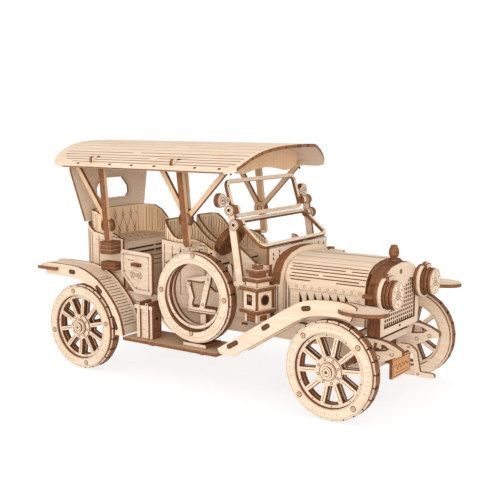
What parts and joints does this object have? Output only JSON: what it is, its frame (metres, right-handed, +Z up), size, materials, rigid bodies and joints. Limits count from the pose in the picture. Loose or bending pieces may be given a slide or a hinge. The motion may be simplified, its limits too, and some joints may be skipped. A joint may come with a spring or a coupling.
{
  "type": "wooden model car",
  "caption": "Assembled laser-cut plywood model of an open vintage touring car with a canopy roof, rolling wheels, swinging doors, folding windshield and hand crank.",
  "frame": {"origin": "on the ground, at the middle of the length and of the width", "axes": "+X forward, +Y to the car's left, +Z up"},
  "size_m": [0.259, 0.12, 0.146],
  "materials": {
    "plywood": "bare laser-cut birch plywood, matte",
    "plywood_edge": "laser-burnt plywood edge, matte"
  },
  "bodies": {
    "chassis": {"spare_tyre": "plywood", "chassis_rail_right": "plywood", "chassis_rail_left": "plywood", "running_board_right": "plywood", "running_board_left": "plywood", "floor_deck": "plywood", "number_plate": "plywood_edge", "rear_fender_right": "plywood", "rear_fender_left": "plywood", "front_fender_right": "plywood", "front_fender_left": "plywood", "body_side_right": "plywood", "body_side_left": "plywood", "rear_seat_back": "plywood", "rear_seat_cushion": "plywood", "front_seat_back_right": "plywood", "front_seat_cushion_right": "plywood", "front_seat_back_left": "plywood", "front_seat_cushion_left": "plywood", "scuttle": "plywood", "hood_leaf_right": "plywood", "radiator_shell": "plywood", "radiator_grille": "plywood", "radiator_cap": "plywood_edge", "headlight_right": "plywood", "headlight_left": "plywood", "lantern_right": "plywood", "lantern_left": "plywood", "windshield_post_right": "plywood", "windshield_post_left": "plywood", "canopy_frame_right": "plywood", "canopy_frame_left": "plywood", "tool_box": "plywood", "spare_bracket": "plywood", "roof_canopy": "plywood", "rear_curtain": "plywood"},
    "front_wheelset": {"front_axle": "plywood_edge", "wheel_front_right_tyre": "plywood", "wheel_front_right_spokes": "plywood", "wheel_front_right_hub": "plywood", "wheel_front_left_tyre": "plywood", "wheel_front_left_spokes": "plywood", "wheel_front_left_hub": "plywood"},
    "rear_wheelset": {"rear_axle": "plywood_edge", "wheel_rear_right_tyre": "plywood", "wheel_rear_right_spokes": "plywood", "wheel_rear_right_hub": "plywood", "wheel_rear_left_tyre": "plywood", "wheel_rear_left_spokes": "plywood", "wheel_rear_left_hub": "plywood"},
    "crank": {"hand_crank": "plywood"},
    "steering": {"steering_wheel": "plywood_edge"},
    "windshield_upper": {"windshield_upper_frame": "plywood", "mirror_right": "plywood", "mirror_left": "plywood"},
    "windshield_lower": {"windshield_lower_frame": "plywood"},
    "hood_leaf": {"hood_leaf_left": "plywood"},
    "right_door": {"door_right": "plywood"},
    "left_door": {"door_left": "plywood"},
    "lever": {"hand_lever": "plywood"}
  },
  "joints": [
    {"name": "front_wheels_roll", "type": "hinge", "parent": "chassis", "child": "front_wheelset", "pos_m": [0.09205, 0, 0.0275], "axis": [0, 1, 0], "continuous": true},
    {"name": "rear_wheels_roll", "type": "hinge", "parent": "chassis", "child": "rear_wheelset", "pos_m": [-0.09215, 0, 0.0275], "axis": [0, 1, 0], "continuous": true},
    {"name": "crank_turn", "type": "hinge", "parent": "chassis", "child": "crank", "pos_m": [0.10985, 0, 0.0322], "axis": [1, 0, 0], "continuous": true},
    {"name": "steering_turn", "type": "hinge", "parent": "chassis", "child": "steering", "pos_m": [-0.00065, -0.0166, 0.087], "axis": [0.8192, 0, -0.5736], "continuous": true},
    {"name": "windshield_upper_fold", "type": "hinge", "parent": "chassis", "child": "windshield_upper", "pos_m": [0.01855, 0, 0.1086], "axis": [0, 1, 0], "range_deg": [-10, 80]},
    {"name": "windshield_lower_lift", "type": "hinge", "parent": "chassis", "child": "windshield_lower", "pos_m": [0.02185, 0, 0.1003], "axis": [0, 1, 0], "range_deg": [-45, 0]},
    {"name": "hood_leaf_lift", "type": "hinge", "parent": "chassis", "child": "hood_leaf", "pos_m": [0.07185, 0, 0.082], "axis": [1, 0, 0], "range_deg": [0, 75]},
    {"name": "right_door_swing", "type": "hinge", "parent": "chassis", "child": "right_door", "pos_m": [-0.07415, -0.035, 0.064], "axis": [0, 0, 1], "range_deg": [-50, 10]},
    {"name": "left_door_swing", "type": "hinge", "parent": "chassis", "child": "left_door", "pos_m": [-0.07415, 0.035, 0.064], "axis": [0, 0, 1], "range_deg": [0, 60]},
    {"name": "hand_lever_swing", "type": "hinge", "parent": "chassis", "child": "lever", "pos_m": [0.01185, -0.0287, 0.05], "axis": [0, 1, 0], "range_deg": [-12, 12]}
  ]
}
